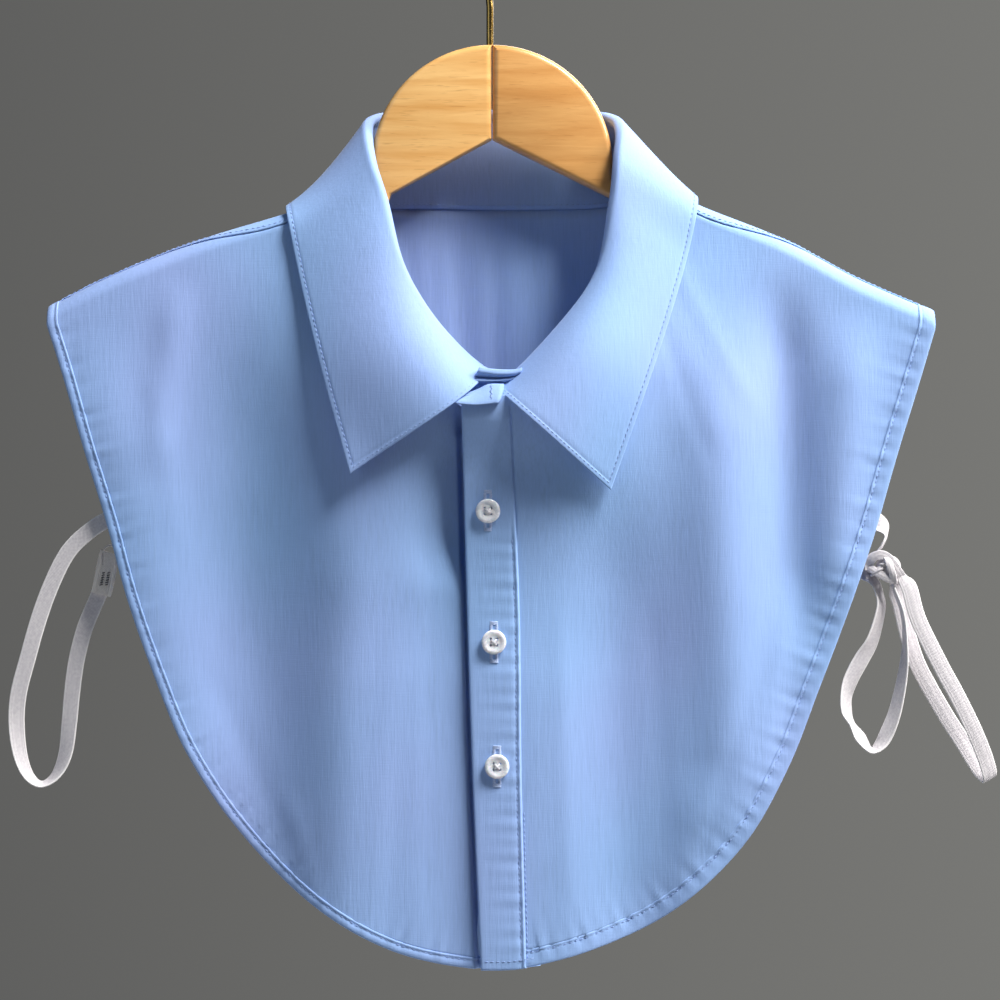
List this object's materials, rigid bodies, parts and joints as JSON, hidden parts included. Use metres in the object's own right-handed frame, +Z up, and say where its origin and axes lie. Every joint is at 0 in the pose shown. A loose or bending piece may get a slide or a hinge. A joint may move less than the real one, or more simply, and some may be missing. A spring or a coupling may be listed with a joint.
{
  "type": "detachable shirt collar on a wooden hanger",
  "caption": "Detachable shirt collar with short front and back panels, a button placket and side tapes, on a plain wooden hanger.",
  "frame": {"origin": "inside of the hook's crown, where a rail carries it", "axes": "+Z up, +Y away from the viewer towards the back panel, +X to the right as seen from the front"},
  "size_m": [0.4348, 0.0652, 0.4778],
  "materials": {
    "cloth": "light blue cotton poplin with fine slubs",
    "tape": "white woven elastic tape",
    "button": "pearly white",
    "wood": "smooth varnished light wood",
    "brass": "polished wire"
  },
  "bodies": {
    "root": {"front_left": "cloth", "hem_left": "cloth", "front_right": "cloth", "hem_right": "cloth", "back_panel": "cloth", "hem_back": "cloth", "collar_stand": "cloth", "collar_fall": "cloth", "placket": "cloth", "button_1": "button", "button_2": "button", "button_3": "button", "strap_left": "tape", "strap_left_end": "tape", "strap_right_tab": "tape", "strap_right_loop": "tape", "strap_right_long": "tape", "knot_right": "tape", "hanger_left": "wood", "hanger_right": "wood", "hook": "brass"}
  },
  "joints": []
}
